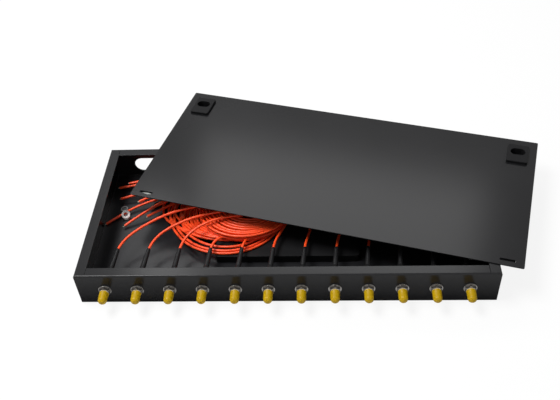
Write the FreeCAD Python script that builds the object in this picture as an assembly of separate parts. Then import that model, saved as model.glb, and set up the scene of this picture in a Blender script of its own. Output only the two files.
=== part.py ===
"""Fibre patch panel one rack unit high, with its sheet cover laid loose and askew on the open box.

Lengths are in millimetres. X runs right along the front panel, Y runs back, Z runs up,
and the origin is the middle of the box's underside. Each function builds one kind of piece.
"""
import FreeCAD
import Part

import math
import os

Vec = FreeCAD.Vector
UP = Vec(0, 0, 1)
BACK = Vec(0, 1, 0)
RIGHT = Vec(1, 0, 0)
TOUCH = 0.01

# Folded box
BOX_W = 440.0
BOX_D = 205.0
BOX_H = 43.0
SHEET = 1.2
BEND_R = 1.6
FLANGE = 11.5
SEAM = 0.5
ENTRY_W = 36.0
ENTRY_H = 20.0
ENTRY_X = 176.5
ENTRY_Z = 18.7
EAR_HOLE_R = 2.15
EAR_HOLE_SPACING = 22.0
EAR_HOLE_INSET = 16.0

# Loose cover: a flat sheet that hooks under the front flange and latches under the rear one
COVER_W = 440.0
COVER_D = 203.0
COVER_CORNER_R = 1.5
COVER_X = 57.4
COVER_Y = 59.5
COVER_TURN = -15.52
HOOK_SLOT_W = 16.4
HOOK_SLOT_D = 3.4
HOOK_SLOT_U = 202.9
HOOK_SLOT_V = -94.1
HOOK_WEB = (195.0, 210.9)
HOOK_FOOT = (197.2, 210.8)
HOOK_REACH = 6.0
HOOK_DROP = 0.25

# Slide latches of the cover
LATCH_U = 198.5
LATCH_V = 74.0
LATCH_W = 24.0
LATCH_L = 31.0
LATCH_H = 3.0
LATCH_TRAVEL = 6.0
LATCH_PLAY = 0.2
PAD_CORNER_R = 2.0
PAD_EDGE_R = 0.8
WINDOW_R = 0.5
NECK_W = 18.0
NECK_L = 20.0
NECK_V = 78.0
KEEPER_W = 22.5
KEEPER_V0 = 63.0
BOLT_W = 16.0
BOLT_TIP_V = 98.0
BOLT_T = 2.0
BOLT_RAMP = 1.6
WELL_W = 17.0
WELL_L = 11.6
WELL_V = 76.4
WELL_DEPTH = 8.5
CUP_WALL = 1.2
CUP_FLOOR = 1.0

# Row of threaded adapters; lengths along the axis are measured back from the panel's front face
PORTS = 12
PORT_PITCH = 34.64
PORT_Z = 21.0
FRONT_Y = -BOX_D / 2
THREAD_R = 4.75
THREAD_FLAT = 4.2
HOLE_PLAY = 0.1
THREAD_FRONT = -4.1
BARREL_R = 4.0
BARREL_FRONT = -11.5
BARREL_REAR = 12.5
SHOULDER_R = 6.5
SHOULDER_T = 3.0
SOCKET_R = 2.8
SOCKET_FRONT = -6.0
SOCKET_REAR = 7.0
SEAT_R = 1.65
KEY_W = 2.2
KEY_L = 3.0
SLEEVE_R = 1.6
SLEEVE_BORE_R = 1.27
SLEEVE_SLIT = 0.3
SLEEVE_PLAY = 0.1
WASHER_R = 6.9
WASHER_T = 0.6
NUT_FLATS = 11.0
NUT_T = 3.0

# Dust caps
CAP_R = 5.0
CAP_L = 13.5
CAP_DOME_R = 4.4
CAP_BORE_R = 4.06
CAP_BORE_L = 10.6
CAP_GAP = 0.2

# Connectors behind the panel
COUPLING_R = 5.1
COUPLING_BORE_R = 4.1
COUPLING_FRONT = 4.6
COUPLING_STEP = 14.3
COUPLING_REAR = 16.5
PLUG_NOSE_R = 2.45
PLUG_NOSE = 8.0
PLUG_COLLAR_R = 3.8
PLUG_COLLAR = 12.8
PLUG_NECK_R = 2.55
PLUG_STEM_R = 1.7
PLUG_STEM = 20.0
PLUG_REAR = 27.0
NECK_GAP = 0.15
FERRULE_R = 1.25
FERRULE_TIP = 0.6
FERRULE_REAR = 12.0
FERRULE_CHAMFER = 0.35
CRIMP_R = 2.3
CRIMP_BORE_R = 1.75
CRIMP_GAP = 0.3
BOOT_R = 3.5
BOOT_BORE_R = 2.65
BOOT_FRONT = 20.4
BOOT_NECK = 28.0
BOOT_NECK_R = 3.1
BOOT_TIP = 58.0
BOOT_TIP_R = 2.15
BOOT_LEAN = 4.5
CORD_BORE_R = 1.6

# Orange pigtails
CORD_R = 1.5
CORD_TUCK = 5.0
CORD_FIRST = 9.0
ARC_SHARE = 0.45
LEADS = [
    [(-168, -14.5, 24.5), (-130, 8, 29.5), (-72, 20.5, 30.5), (-16, 36, 20)],
    [(-137, -17.5, 25), (-103, -2, 30.5), (-58, 8.5, 29.5), (-14.5, 19.5, 19.5)],
    [(-105, -20, 27), (-80, -7.5, 31.5), (-46, 0.5, 28.5), (-14, 11, 20.5)],
    [(-74, -27.5, 19), (-62, -24.5, 16.8)],
    [(-44, -29.5, 18.8), (-36, -25, 16.6)],
    [(-7, -20, 20.5), (-0.5, -3, 20), (3, 13, 19)],
    [(27, -14, 19), (27, 14, 15.5), (14, 40, 15.5), (-2, 52, 17.5)],
    [(62, -12, 18.5), (57, 18, 15), (31, 44, 15), (-2, 57.5, 18)],
    [(96, -10, 17), (91, 24, 14.5), (68, 52, 14.5), (30, 69, 15.5), (-11, 69, 19)],
    [(131, -8, 15), (126, 30, 9), (100, 64, 9), (56, 83, 12), (4, 85, 16.5), (-24, 76.5, 19.5)],
    [(164.5, -10, 15), (159, 34, 8), (130, 69, 7), (82, 89, 9), (28, 93.5, 12.5), (-20, 89, 15),
     (-50, 83, 14.5)],
    [(198.5, -10, 14.5), (194, 32, 6), (166, 70, 4), (118, 91, 4.5), (62, 97, 7), (6, 98, 10.5),
     (-32, 93, 13), (-58, 89, 14)],
]
TAILS = [
    [(-114, 66, 11.5), (-147, 53, 10), (-176, 43.5, 6.2), (-197.2, 30.2, 4.45), (-216.6, 12.8, 2.9)],
    [(-118, 55.5, 11.5), (-145, 41, 13.5), (-172, 25.5, 10), (-193.5, 8, 4.2)],
    [(-121, 48, 10), (-145, 34.5, 10.8), (-167.5, 19.5, 8)],
    [(-120, 75, 11.5), (-151, 59.5, 13.5), (-181, 43, 10)],
    [(-128, 77.5, 9.5), (-167, 61.5, 11.5), (-205.5, 52, 6.5)],
    [(-120, 82.5, 9), (-166, 78, 10.5), (-211, 71.5, 6.5)],
    [(-112, 86, 12), (-157, 84, 13.5), (-200, 78, 8)],
    [(-129, 74, 7.2), (-147, 66, 5), (-163, 60, 4)],
    [(-134, 68, 6.8), (-151, 57.5, 5), (-165, 50, 4)],
    [(-142, 58.5, 6), (-156, 46, 4.8), (-167, 37, 4)],
    [(-106, 88, 10), (-140, 91, 7), (-172, 90, 4)],
    [(-98, 89, 13), (-135, 95, 11.5), (-170, 96, 8)],
]

# Coil of the pigtails: a low wide ring and a tighter one on it, both bent down past the tray's end
COIL_X = -76.0
COIL_Y = 26.0
COIL_OUT = (81.0, 70.0)
COIL_IN = (46.0, 36.0)
COIL_Z0 = 11.35
COIL_Z1 = 17.5
BUNDLE_X = -47.0
BUNDLE_Y = 27.0
BUNDLE_OUT = 57.0
BUNDLE_IN = 32.0
BUNDLE_Z1 = 26.0
DROOP_X = -81.0
DROOP = 7.0

# Splice tray on the floor
TRAY_W = 160.0
TRAY_Y0 = -48.0
TRAY_D = 105.0
TRAY_H = 8.5
TRAY_WALL = 1.6
TRAY_CORNER_R = 4.0
TRAY_COVER_T = 1.5
TRAY_GATE_W = 12.0
TRAY_GATE_Y = 34.0
COMB_X = 30.0
COMB_W = 10.0
COMB_D = 40.0
COMB_H = 5.0
COMB_T = 0.8
COMB_SLOTS = 6
COMB_SLOT_W = 3.0

# Cable clamp near the left wall: a thick ring leaning back on a screwed foot
CLAMP_X = -193.4
CLAMP_Y = 21.8
CLAMP_TURN = 110.0
CLAMP_R = 5.2
CLAMP_BORE_R = 2.4
CLAMP_ROUND = 0.8
CLAMP_T = 1.3
CLAMP_W = 2.6
CLAMP_LEAN = 43.0
CLAMP_SINK = 0.2
CLAMP_FOOT_W = 8.4
CLAMP_FOOT_U = -0.8
CLAMP_SCREW_U = 15.2
CLAMP_BOSS_R = 4.2
CLAMP_BOSS_H = 4.0
CLAMP_SEAT_R = 3.2
CLAMP_HOLE_R = 1.7
CLAMP_SCREW_R = 1.5
CLAMP_HEAD_R = 3.0
CLAMP_HEAD_H = 2.0
CLAMP_RECESS = 1.0
CLAMP_RECESS_W = 0.6
CLAMP_RECESS_L = 3.6


def block(x0, x1, y0, y1, z0, z1):
    """Box between two corners."""
    return Part.makeBox(x1 - x0, y1 - y0, z1 - z0, Vec(x0, y0, z0))


def rod(radius, y0, y1):
    """Cylinder on the Y axis."""
    return Part.makeCylinder(radius, y1 - y0, Vec(0, y0, 0), BACK)


def turned(profile):
    """Solid of revolution about the Y axis from a closed list of (y, radius) corners."""
    corners = [Vec(radius, y, 0) for y, radius in profile]
    outline = Part.makePolygon(corners + corners[:1])
    return Part.Face(outline).revolve(Vec(0, 0, 0), BACK, 360)


def slot_plate(length, width, height):
    """Obround prism, long way along X, centred on the Z axis and standing on Z = 0."""
    half = (length - width) / 2
    plate = block(-half, half, -width / 2, width / 2, 0, height)
    for x in (-half, half):
        plate = plate.fuse(Part.makeCylinder(width / 2, height, Vec(x, 0, 0)))
    return plate.removeSplitter()


def rounded_plate(width, depth, height, radius):
    """Rectangular plate with round upright corners, centred on the Z axis."""
    plate = block(-width / 2, width / 2, -depth / 2, depth / 2, 0, height)
    upright = [e for e in plate.Edges if abs(e.tangentAt(e.FirstParameter).z) > 0.9]
    return plate.makeFillet(radius, upright)


def moved(shape, x=0, y=0, z=0, turn=0):
    """Copy of a shape turned about Z and then shifted."""
    copy = shape.copy()
    copy.Placement = FreeCAD.Placement(Vec(x, y, z), FreeCAD.Rotation(UP, turn)).multiply(shape.Placement)
    return copy


def port_x(index):
    """X of an adapter's axis, counted from the left."""
    return (index - (PORTS - 1) / 2) * PORT_PITCH


def at_port(shape, index):
    """Copy of a piece drawn on the Y axis, set at one port with Y = 0 on the panel's front face."""
    return moved(shape, port_x(index), FRONT_Y, PORT_Z)


def at_every_port(shape):
    """One copy of a piece at each port, as a group of separate solids."""
    return Part.makeCompound([at_port(shape, i) for i in range(PORTS)])


def on_cover(shape):
    """Copy of a piece drawn in the cover's own frame, set where the cover lies."""
    return moved(shape, COVER_X, COVER_Y, BOX_H, COVER_TURN)


def d_rod(radius, flat, y0, y1):
    """Rod on the Y axis with one flat along its top."""
    return rod(radius, y0, y1).cut(block(-radius, radius, y0, y1, flat, radius * 2))


def box_shell():
    """Folded sheet without its holes: floor, four walls and the inward flange round the top."""
    w, d = BOX_W / 2, BOX_D / 2
    shell = block(-w, w, -d, d, 0, BOX_H)
    folds = [e for e in shell.Edges if abs(e.tangentAt(e.FirstParameter).z) < 0.1]
    shell = shell.makeFillet(BEND_R, folds)
    hollow = block(SHEET - w, w - SHEET, SHEET - d, d - SHEET, SHEET, BOX_H - SHEET)
    inner = [e for e in hollow.Edges if abs(e.tangentAt(e.FirstParameter).z) < 0.1]
    hollow = hollow.makeFillet(BEND_R - SHEET, inner)
    mouth = block(FLANGE - w, w - FLANGE, FLANGE - d, d - FLANGE, BOX_H / 2, BOX_H * 2)
    return shell.cut(hollow).cut(mouth)


def flange_seams():
    """Butt gaps where the front and rear flanges end against the side flanges."""
    x = BOX_W / 2 - FLANGE
    y0, y1 = BOX_D / 2 - FLANGE, BOX_D / 2 - BEND_R
    gaps = []
    for side in (-x, x):
        for a, b in ((y0, y1), (-y1, -y0)):
            gaps.append(block(side - SEAM / 2, side + SEAM / 2, a, b, BOX_H - SHEET * 1.5, BOX_H * 2))
    return gaps


def box_holes():
    """Adapter holes, rear cable entries, ear screw holes and the clamp's screw hole."""
    holes = [at_port(d_rod(THREAD_R + HOLE_PLAY, THREAD_FLAT + HOLE_PLAY, -SHEET, SHEET * 2), i)
             for i in range(PORTS)]
    entry = slot_plate(ENTRY_W, ENTRY_H, SHEET * 3)
    entry.rotate(Vec(0, 0, 0), RIGHT, 90)
    ear = Part.makeCylinder(EAR_HOLE_R, SHEET * 3, Vec(-SHEET * 1.5, 0, 0), RIGHT)
    for side in (-1, 1):
        holes.append(moved(entry, side * ENTRY_X, BOX_D / 2 + SHEET, ENTRY_Z))
        for step in (-0.5, 0.5):
            z = BOX_H / 2 + step * EAR_HOLE_SPACING
            holes.append(moved(ear, side * (BOX_W - SHEET) / 2, FRONT_Y + EAR_HOLE_INSET, z))
    holes.append(at_clamp(clamp_drill(CLAMP_HOLE_R, -SHEET * 2, SHEET)))
    return holes


def box_body():
    """Whole folded box with its holes."""
    return box_shell().cut(flange_seams() + box_holes())


def cover_hook(side):
    """Z-shaped tongue under one front slot of the cover, reaching forward below the flange."""
    web_u = sorted(side * u for u in HOOK_WEB)
    foot_u = sorted(side * u for u in HOOK_FOOT)
    web_v = HOOK_SLOT_V + HOOK_SLOT_D / 2
    foot_z = -SHEET - HOOK_DROP
    web = block(*web_u, web_v, web_v + SHEET, foot_z - SHEET, SHEET)
    foot = block(*foot_u, web_v - HOOK_REACH, web_v, foot_z - SHEET, foot_z)
    return web.fuse(foot)


def cover_sheet():
    """Flat cover with its front hooks and the windows for the latches, in the cover's own frame."""
    sheet = rounded_plate(COVER_W, COVER_D, SHEET, COVER_CORNER_R)
    window_l = NECK_L + LATCH_TRAVEL + LATCH_PLAY * 2
    window = rounded_plate(NECK_W + LATCH_PLAY * 2, window_l, SHEET * 3, WINDOW_R)
    slot = slot_plate(HOOK_SLOT_W, HOOK_SLOT_D, SHEET * 3)
    for side in (-1, 1):
        sheet = sheet.cut(moved(window, side * LATCH_U, NECK_V - LATCH_TRAVEL / 2, -SHEET))
        sheet = sheet.cut(moved(slot, side * HOOK_SLOT_U, HOOK_SLOT_V, -SHEET))
        sheet = sheet.fuse(cover_hook(side))
    return sheet.removeSplitter()


def latch_pad():
    """Raised thumb pad with softened top edges, standing on Z = 0."""
    pad = rounded_plate(LATCH_W, LATCH_L, LATCH_H, PAD_CORNER_R)
    top = [e for e in pad.Edges if e.BoundBox.ZMin > LATCH_H - TOUCH]
    return pad.makeFillet(PAD_EDGE_R, top)


def latch_bolt(top):
    """Tongue below the cover that reaches under the rear flange, ramped at its tip."""
    rear = NECK_V + NECK_L / 2
    bolt = block(-BOLT_W / 2, BOLT_W / 2, rear, BOLT_TIP_V, top - BOLT_T, top)
    tip = [e for e in bolt.Edges
           if e.BoundBox.YMin > BOLT_TIP_V - TOUCH and e.BoundBox.ZMax < top - BOLT_T + TOUCH]
    return bolt.makeChamfer(BOLT_RAMP, tip)


def slide_latch(side):
    """One-piece slide latch: pad above the sheet, neck through it, keeper, bolt and well below it."""
    below, above = -LATCH_PLAY, SHEET + LATCH_PLAY
    bolt_top = -SHEET - LATCH_PLAY
    front, rear = NECK_V - NECK_L / 2, NECK_V + NECK_L / 2
    pad = moved(latch_pad(), 0, LATCH_V, above)
    neck = block(-NECK_W / 2, NECK_W / 2, front, rear, below, above)
    keeper = block(-KEEPER_W / 2, KEEPER_W / 2, KEEPER_V0, rear, bolt_top - BOLT_T, below)
    well_z = above + LATCH_H - WELL_DEPTH
    cup_z = well_z - CUP_FLOOR
    cup = slot_plate(WELL_W + CUP_WALL * 2, WELL_L + CUP_WALL * 2, below - cup_z)
    latch = pad.fuse([neck, keeper, latch_bolt(bolt_top), moved(cup, 0, WELL_V, cup_z)])
    well = slot_plate(WELL_W, WELL_L, WELL_DEPTH * 2)
    latch = latch.cut(moved(well, 0, WELL_V, well_z))
    return moved(latch.removeSplitter(), side * LATCH_U)


def adapter():
    """Threaded coupler body: barrels front and rear, shoulder, flatted thread and sleeve seat."""
    shoulder_rear = SHEET + SHOULDER_T
    body = turned([
        (BARREL_FRONT, SOCKET_R), (BARREL_FRONT, BARREL_R), (THREAD_FRONT, BARREL_R),
        (THREAD_FRONT, THREAD_R), (SHEET, THREAD_R), (SHEET, SHOULDER_R),
        (shoulder_rear, SHOULDER_R), (shoulder_rear, BARREL_R), (BARREL_REAR, BARREL_R),
        (BARREL_REAR, SOCKET_R), (SOCKET_REAR, SOCKET_R), (SOCKET_REAR, SEAT_R),
        (SOCKET_FRONT, SEAT_R), (SOCKET_FRONT, SOCKET_R)])
    flat = block(-SHOULDER_R, SHOULDER_R, THREAD_FRONT, SHEET, THREAD_FLAT, SHOULDER_R)
    key = block(-KEY_W / 2, KEY_W / 2, BARREL_FRONT, BARREL_FRONT + KEY_L, 0, SHOULDER_R)
    return body.cut([flat, key])


def alignment_sleeve():
    """Split ceramic sleeve that lines the two ferrules up inside an adapter."""
    y0, y1 = SOCKET_FRONT + SLEEVE_PLAY, SOCKET_REAR - SLEEVE_PLAY
    sleeve = rod(SLEEVE_R, y0, y1).cut(rod(SLEEVE_BORE_R, y0, y1))
    return sleeve.cut(block(-SLEEVE_SLIT / 2, SLEEVE_SLIT / 2, y0, y1, 0, SLEEVE_R * 2))


def lock_washer():
    """Flat ring between the panel and a nut."""
    return rod(WASHER_R, -WASHER_T, 0).cut(rod(THREAD_R + HOLE_PLAY, -WASHER_T, 0))


def adapter_nut():
    """Hexagon nut on an adapter's thread."""
    front = -WASHER_T - NUT_T
    corner = NUT_FLATS / 2 / math.cos(math.pi / 6)
    angles = [math.pi / 6 + k * math.pi / 3 for k in range(7)]
    points = [Vec(corner * math.cos(a), front, corner * math.sin(a)) for a in angles]
    prism = Part.Face(Part.makePolygon(points)).extrude(BACK * NUT_T)
    return prism.cut(rod(THREAD_R + HOLE_PLAY, front, 0))


def dust_cap():
    """Domed push-on cap, open at its rear."""
    mouth = THREAD_FRONT - CAP_GAP
    shell = rod(CAP_R, mouth - CAP_L, mouth)
    nose = [e for e in shell.Edges if e.BoundBox.YMax < mouth - CAP_L + TOUCH]
    shell = shell.makeFillet(CAP_DOME_R, nose)
    return shell.cut(rod(CAP_BORE_R, mouth - CAP_BORE_L, mouth))


def coupling_nut():
    """Sleeve nut that screws onto an adapter's rear barrel."""
    return turned([(COUPLING_FRONT, COUPLING_BORE_R), (COUPLING_FRONT, COUPLING_R),
                   (COUPLING_REAR, COUPLING_R), (COUPLING_REAR, PLUG_NECK_R + NECK_GAP),
                   (COUPLING_STEP, PLUG_NECK_R + NECK_GAP), (COUPLING_STEP, COUPLING_BORE_R)])


def plug_body():
    """Metal connector body: nose, collar held by the coupling nut, neck and crimp stem."""
    collar_rear = COUPLING_STEP - NECK_GAP
    return turned([
        (PLUG_NOSE, FERRULE_R), (PLUG_NOSE, PLUG_NOSE_R), (PLUG_COLLAR, PLUG_NOSE_R),
        (PLUG_COLLAR, PLUG_COLLAR_R), (collar_rear, PLUG_COLLAR_R), (collar_rear, PLUG_NECK_R),
        (PLUG_STEM, PLUG_NECK_R), (PLUG_STEM, PLUG_STEM_R), (PLUG_REAR, PLUG_STEM_R),
        (PLUG_REAR, 0), (FERRULE_REAR, 0), (FERRULE_REAR, FERRULE_R)])


def ferrule():
    """Ceramic pin with a chamfered tip, seated in a connector body."""
    return turned([(FERRULE_TIP, 0), (FERRULE_TIP, FERRULE_R - FERRULE_CHAMFER),
                   (FERRULE_TIP + FERRULE_CHAMFER, FERRULE_R), (FERRULE_REAR, FERRULE_R), (FERRULE_REAR, 0)])


def crimp_sleeve():
    """Metal tube crimped over a connector's stem."""
    y0, y1 = PLUG_STEM + CRIMP_GAP, PLUG_REAR
    return rod(CRIMP_R, y0, y1).cut(rod(CRIMP_BORE_R, y0, y1))


def boot_lean():
    """Swing of a boot about the middle of its crimp, the way its cable pulls."""
    crimp_middle = Vec(0, (PLUG_STEM + PLUG_REAR) / 2, 0)
    return FreeCAD.Placement(Vec(0, 0, 0), FreeCAD.Rotation(UP, -BOOT_LEAN), crimp_middle)


def boot():
    """Strain relief: a round grip over the crimp and a slender tail, bored for the cable."""
    crimp_end = PLUG_REAR + CRIMP_GAP
    relief = turned([
        (BOOT_FRONT, BOOT_BORE_R), (BOOT_FRONT, BOOT_R), (BOOT_NECK, BOOT_R), (BOOT_NECK, BOOT_NECK_R),
        (BOOT_TIP, BOOT_TIP_R), (BOOT_TIP, CORD_BORE_R), (crimp_end, CORD_BORE_R), (crimp_end, BOOT_BORE_R)])
    relief.Placement = boot_lean()
    return relief


def corner_arc(before, corner, after):
    """Start, middle, end and radius of the tangent arc that rounds one corner of a cable's route."""
    into = (corner - before).normalize()
    out = (after - corner).normalize()
    reach = ARC_SHARE * min((corner - before).Length, (after - corner).Length)
    half_turn = into.getAngle(out) / 2
    radius = reach / math.tan(half_turn)
    inward = (out - into).normalize()
    middle = corner + inward * (radius / math.cos(half_turn) - radius)
    return corner - into * reach, middle, corner + out * reach, radius


def cable(points):
    """Round cable along straight runs joined by tangent arcs, with its tightest radius."""
    spots = [Vec(*p) for p in points]
    edges = []
    radii = []
    last = spots[0]
    for before, corner, after in zip(spots, spots[1:], spots[2:]):
        start, middle, end, radius = corner_arc(before, corner, after)
        edges.append(Part.LineSegment(last, start).toShape())
        edges.append(Part.Arc(start, middle, end).toShape())
        radii.append(radius)
        last = end
    edges.append(Part.LineSegment(last, spots[-1]).toShape())
    path = Part.Wire(edges)
    ring = Part.Wire(Part.makeCircle(CORD_R, spots[0], spots[1] - spots[0]))
    tube = path.makePipeShell([ring], True, False)
    fill = tube.Volume / (math.pi * CORD_R ** 2 * path.Length)
    return tube, min(radii), fill


def lead_start(index):
    """First two points of a pigtail: inside the boot's tip and a little way out of it."""
    port = Vec(port_x(index), FRONT_Y, PORT_Z)
    reaches = (BOOT_TIP - CORD_TUCK, BOOT_TIP + CORD_FIRST)
    return [tuple(port + boot_lean().multVec(BACK * reach)) for reach in reaches]


def pigtail(index):
    """Uncoiled stretches of one pigtail: from its boot to the coil, and from the coil to the cut end."""
    lead, lead_r, lead_fill = cable(lead_start(index) + LEADS[index])
    tail, tail_r, tail_fill = cable(TAILS[index])
    print("pigtail", index + 1, "tightest radius", round(min(lead_r, tail_r), 1),
          "fill", round(lead_fill, 3), round(tail_fill, 3))
    return Part.makeCompound([lead, tail])


def oval_ring(x, y, outer, inner, z0, z1):
    """Upright ring with oval outlines, each given by its half-axes."""
    discs = []
    for half_x, half_y in (outer, inner):
        oval = Part.Ellipse(Vec(x, y, z0), half_x, half_y)
        discs.append(Part.Face(Part.Wire(oval.toShape())).extrude(UP * (z1 - z0)))
    return discs[0].cut(discs[1])


def pigtail_coil():
    """Outer shape of the coiled pigtails, with the part past the tray's end drooping to the floor."""
    low = oval_ring(COIL_X, COIL_Y, COIL_OUT, COIL_IN, COIL_Z0, COIL_Z1)
    high = Part.makeCylinder(BUNDLE_OUT, BUNDLE_Z1 - COIL_Z0, Vec(BUNDLE_X, BUNDLE_Y, COIL_Z0))
    high = high.cut(Part.makeCylinder(BUNDLE_IN, BUNDLE_Z1 - COIL_Z0, Vec(BUNDLE_X, BUNDLE_Y, COIL_Z0)))
    whole = low.fuse(high)
    reach = BOX_W / 2
    left_side = block(DROOP_X - reach, DROOP_X, -reach, reach, 0, BOX_H)
    left = whole.common(left_side)
    left.rotate(Vec(DROOP_X, 0, BUNDLE_Z1), BACK, -DROOP)
    return whole.cut(left_side).fuse(left).removeSplitter()


def splice_tray():
    """Shallow moulded tray with cable gates at both ends."""
    base = rounded_plate(TRAY_W, TRAY_D, TRAY_H, TRAY_CORNER_R)
    inside = rounded_plate(TRAY_W - TRAY_WALL * 2, TRAY_D - TRAY_WALL * 2, TRAY_H, TRAY_CORNER_R - TRAY_WALL)
    base = base.cut(moved(inside, 0, 0, TRAY_WALL))
    gate = block(-TRAY_W, TRAY_W, -TRAY_GATE_W / 2, TRAY_GATE_W / 2, TRAY_WALL, TRAY_H)
    for side in (-1, 1):
        base = base.cut(moved(gate, 0, side * TRAY_GATE_Y))
    return in_tray(base)


def in_tray(shape, x=0, z=0):
    """Copy of a piece drawn in the tray's own frame, set where the tray stands."""
    return moved(shape, x, TRAY_Y0 + TRAY_D / 2, SHEET + z)


def splice_comb():
    """Strip with upright fins that hold fusion splices side by side."""
    comb = block(-COMB_W / 2, COMB_W / 2, -COMB_D / 2, COMB_D / 2, 0, COMB_H)
    pitch = COMB_D / COMB_SLOTS
    for k in range(COMB_SLOTS):
        y = (k - (COMB_SLOTS - 1) / 2) * pitch
        comb = comb.cut(block(-COMB_W, COMB_W, y - COMB_SLOT_W / 2, y + COMB_SLOT_W / 2, COMB_T, COMB_H))
    return comb


def splice_combs():
    """The two combs on the tray's floor, as a group of separate solids."""
    return Part.makeCompound([in_tray(splice_comb(), side * COMB_X, TRAY_WALL) for side in (-1, 1)])


def splice_tray_cover():
    """Flat lid of the splice tray with a thumb notch in its rear edge."""
    lid = rounded_plate(TRAY_W, TRAY_D, TRAY_COVER_T, TRAY_CORNER_R)
    lid = lid.cut(Part.makeCylinder(TRAY_GATE_W / 2, TRAY_COVER_T, Vec(0, TRAY_D / 2, 0)))
    return in_tray(lid, 0, TRAY_H)


def at_clamp(shape):
    """Copy of a piece drawn in the clamp's own frame, set on the floor where the clamp stands."""
    return moved(shape, CLAMP_X, CLAMP_Y, SHEET, CLAMP_TURN)


def clamp_drill(radius, z0, z1):
    """Upright cylinder on the clamp's screw axis."""
    return Part.makeCylinder(radius, z1 - z0, Vec(CLAMP_SCREW_U, 0, z0))


def clamp_ring():
    """Thick ring with rounded edges, leaning back towards the screw."""
    start = Vec(-CLAMP_W / 2, 0, 0)
    ring = Part.makeCylinder(CLAMP_R, CLAMP_W, start, RIGHT)
    ring = ring.cut(Part.makeCylinder(CLAMP_BORE_R, CLAMP_W, start, RIGHT))
    rims = [e for e in ring.Edges if e.BoundBox.XLength < TOUCH]
    ring = ring.makeFillet(CLAMP_ROUND, rims)
    ring.rotate(Vec(0, 0, 0), BACK, CLAMP_LEAN)
    lean = math.radians(CLAMP_LEAN)
    rise = CLAMP_SINK + CLAMP_R * math.cos(lean) + CLAMP_W / 2 * math.sin(lean)
    ring.translate(Vec(CLAMP_R * math.sin(lean), 0, rise))
    return ring


def cable_clamp():
    """Moulded clamp: the ring and the screw boss on one flat foot."""
    foot_end = CLAMP_SCREW_U + CLAMP_BOSS_R
    foot = slot_plate(foot_end - CLAMP_FOOT_U, CLAMP_FOOT_W, CLAMP_T)
    foot.translate(RIGHT * ((foot_end + CLAMP_FOOT_U) / 2))
    clamp = foot.fuse([clamp_drill(CLAMP_BOSS_R, 0, CLAMP_BOSS_H), clamp_ring()])
    clamp = clamp.cut([clamp_drill(CLAMP_SEAT_R, CLAMP_T, CLAMP_BOSS_H), clamp_drill(CLAMP_HOLE_R, 0, CLAMP_T)])
    return at_clamp(clamp)


def clamp_screw():
    """Pan-head screw that holds the clamp to the floor, with a cross recess."""
    crown = CLAMP_T + CLAMP_HEAD_H
    head = clamp_drill(CLAMP_HEAD_R, CLAMP_T, crown)
    top = [e for e in head.Edges if e.BoundBox.ZMin > crown - TOUCH]
    head = head.makeFillet(CLAMP_HEAD_H / 2, top)
    screw = head.fuse(clamp_drill(CLAMP_SCREW_R, -SHEET * 0.8, CLAMP_T))
    slot = slot_plate(CLAMP_RECESS_L, CLAMP_RECESS_W, CLAMP_RECESS * 2)
    for turn in (0, 90):
        screw = screw.cut(moved(slot, CLAMP_SCREW_U, 0, crown - CLAMP_RECESS, turn))
    return at_clamp(screw)


def all_nodes():
    """Every named piece of the panel."""
    nodes = {
        "box_body": box_body(),
        "top_cover": on_cover(cover_sheet()),
        "left_slide_latch": on_cover(slide_latch(-1)),
        "right_slide_latch": on_cover(slide_latch(1)),
        "adapter_nuts": at_every_port(adapter_nut()),
        "lock_washers": at_every_port(lock_washer()),
        "alignment_sleeves": at_every_port(alignment_sleeve()),
        "coupling_nuts": at_every_port(coupling_nut()),
        "connector_bodies": at_every_port(plug_body()),
        "ferrules": at_every_port(ferrule()),
        "crimp_sleeves": at_every_port(crimp_sleeve()),
        "boots": at_every_port(boot()),
        "pigtail_coil": pigtail_coil(),
        "splice_tray": splice_tray(),
        "splice_combs": splice_combs(),
        "splice_tray_cover": splice_tray_cover(),
        "cable_clamp": cable_clamp(),
        "clamp_screw": clamp_screw(),
    }
    body = adapter()
    cap = dust_cap()
    for i in range(PORTS):
        number = f"{i + 1:02d}"
        nodes["adapter_" + number] = at_port(body, i)
        nodes["dust_cap_" + number] = at_port(cap, i)
        nodes["pigtail_" + number] = pigtail(i)
    return nodes


os.makedirs("parts", exist_ok=True)
for name, shape in all_nodes().items():
    shape.exportStep(f"parts/{name}.step")
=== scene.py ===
"""Looks of the fibre patch panel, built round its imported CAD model.

Lengths in the tables are millimetres, as on the part's drawing, and become metres where meshes are made.
X runs right along the front panel, Y runs back and Z runs up from the middle of the box's underside.
"""
import logging
import math
import random
from dataclasses import dataclass, field
from enum import Enum
from typing import Callable, Optional, Sequence, Union

import bmesh
import bpy
from mathutils import Matrix, Vector

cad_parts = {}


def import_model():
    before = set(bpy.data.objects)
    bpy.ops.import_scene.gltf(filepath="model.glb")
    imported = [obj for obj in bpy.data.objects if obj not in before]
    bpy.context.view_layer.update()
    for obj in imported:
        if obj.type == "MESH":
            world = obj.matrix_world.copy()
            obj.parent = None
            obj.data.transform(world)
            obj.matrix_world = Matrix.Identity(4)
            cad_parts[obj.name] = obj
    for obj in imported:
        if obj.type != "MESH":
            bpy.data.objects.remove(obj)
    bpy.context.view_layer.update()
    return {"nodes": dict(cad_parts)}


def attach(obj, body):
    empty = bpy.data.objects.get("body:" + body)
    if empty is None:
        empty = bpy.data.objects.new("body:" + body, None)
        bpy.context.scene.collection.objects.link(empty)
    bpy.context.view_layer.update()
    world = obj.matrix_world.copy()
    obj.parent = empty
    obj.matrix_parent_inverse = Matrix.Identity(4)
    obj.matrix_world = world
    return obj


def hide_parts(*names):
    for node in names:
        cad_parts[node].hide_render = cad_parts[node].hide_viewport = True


LOG = logging.getLogger("patch_panel")
MM = 0.001
SEAM_M = 1e-7
SHARP_DEG = 38.0
ROOT_BODY = "panel"
Point = tuple[float, float, float]
Colour = tuple[float, float, float]
Outline = list[tuple[float, float]]
Value = Union["Wire", float, int, Sequence[float]]


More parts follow.
